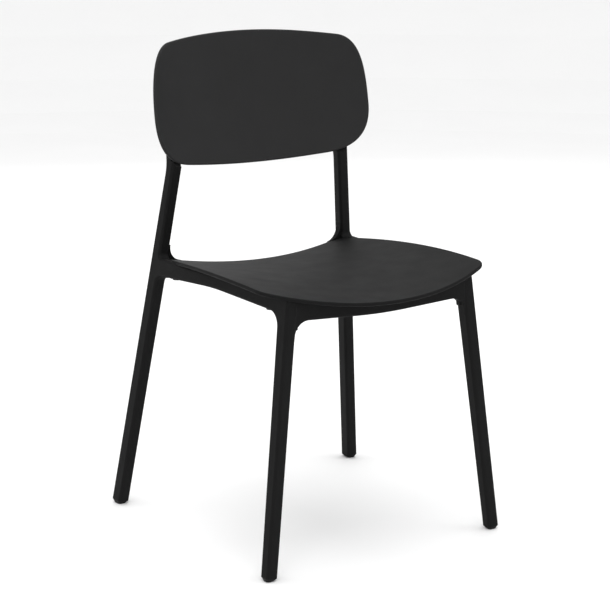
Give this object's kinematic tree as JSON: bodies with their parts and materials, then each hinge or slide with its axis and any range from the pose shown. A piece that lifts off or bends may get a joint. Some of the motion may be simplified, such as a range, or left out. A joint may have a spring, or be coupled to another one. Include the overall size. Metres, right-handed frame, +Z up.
{
  "type": "stacking chair",
  "caption": "Armless moulded plastic stacking chair with a dished seat, a curved low back panel and splayed, leaning legs.",
  "frame": {"origin": "on the floor, at the centre of the chair's footprint box", "axes": "+Z up, -Y towards the front of the seat, +X towards the sitter's left"},
  "size_m": [0.4974, 0.4874, 0.7991],
  "materials": {
    "frame_plastic": "satin moulded, fine grain",
    "seat_plastic": "satin moulded, fine grain",
    "back_plastic": "satin moulded, fine grain",
    "glide_nylon": "plain nylon",
    "zinc_steel": "zinc plated",
    "insert_brass": "turned and knurled",
    "cap_plastic": "satin moulded",
    "bumper_rubber": "matte"
  },
  "bodies": {
    "root": {"side_frame_left": "frame_plastic", "side_frame_right": "frame_plastic", "front_rail": "frame_plastic", "rear_rail": "frame_plastic", "seat_shell": "seat_plastic", "back_panel": "back_plastic", "glide_front_left": "glide_nylon", "glide_front_right": "glide_nylon", "glide_rear_left": "glide_nylon", "glide_rear_right": "glide_nylon", "rail_screws": "zinc_steel", "rail_washers": "zinc_steel", "rail_inserts": "insert_brass", "seat_screws": "zinc_steel", "seat_washers": "zinc_steel", "back_screws": "zinc_steel", "back_inserts": "insert_brass", "back_screw_caps": "cap_plastic", "stacking_bumpers": "bumper_rubber"}
  },
  "joints": []
}
